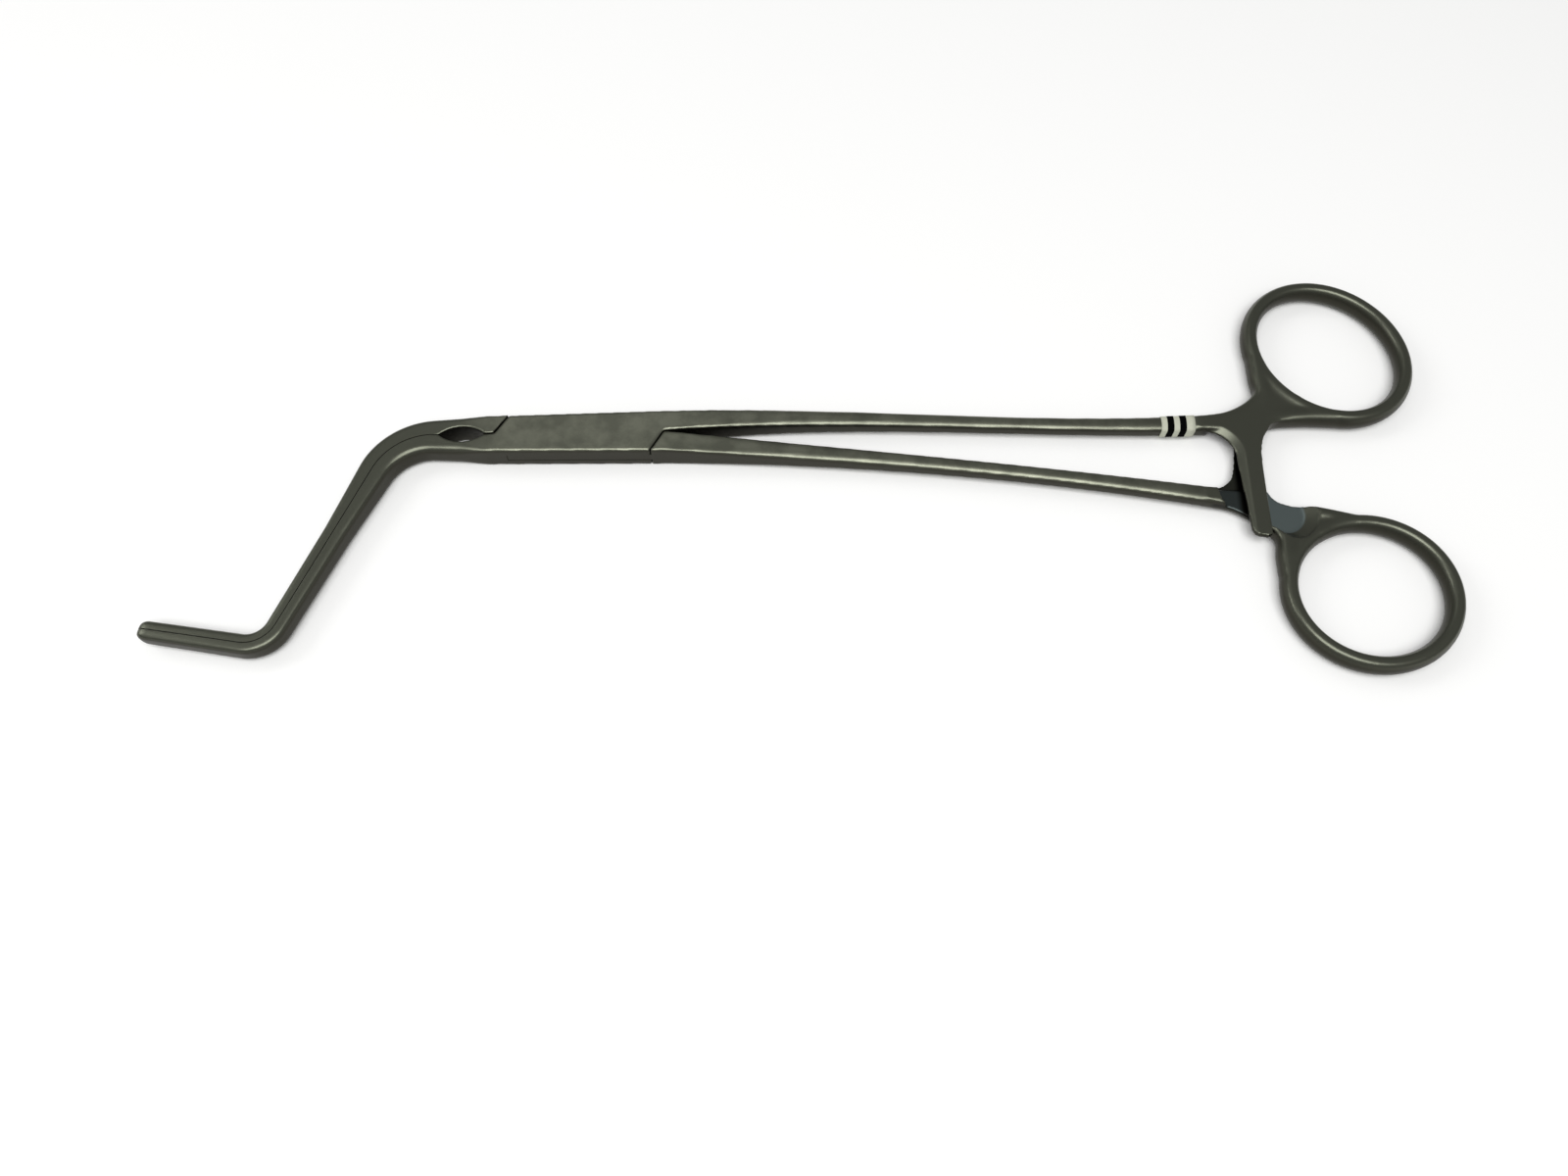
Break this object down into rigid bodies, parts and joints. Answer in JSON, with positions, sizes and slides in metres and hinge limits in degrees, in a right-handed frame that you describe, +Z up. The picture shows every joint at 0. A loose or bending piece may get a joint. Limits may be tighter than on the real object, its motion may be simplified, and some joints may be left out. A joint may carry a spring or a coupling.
{
  "type": "vascular clamp",
  "caption": "Ring-handled vascular clamp with double-angled jaws, a box lock, a ratchet and banded marker tape on the upper shank, lying closed.",
  "frame": {"origin": "on the lock pin's axis at the underside of the box", "axes": "+X along the line that halves the handles, towards the finger rings; +Z up, through the thickness; +Y towards the upper shank"},
  "size_m": [0.2317, 0.0903, 0.005],
  "materials": {
    "steel": "satin",
    "pin_steel": "satin",
    "tape_white": "matte",
    "tape_black": "matte"
  },
  "bodies": {
    "female": {"female_half": "steel", "lock_pin": "pin_steel", "marker_tape": "tape_white", "tape_band_front": "tape_black", "tape_band_rear": "tape_black"},
    "male": {"male_half": "steel"}
  },
  "joints": [
    {"name": "box_lock", "type": "hinge", "parent": "female", "child": "male", "pos_m": [0, 0, 0.0025], "axis": [0, 0, -1], "range_deg": [0, 28]}
  ]
}
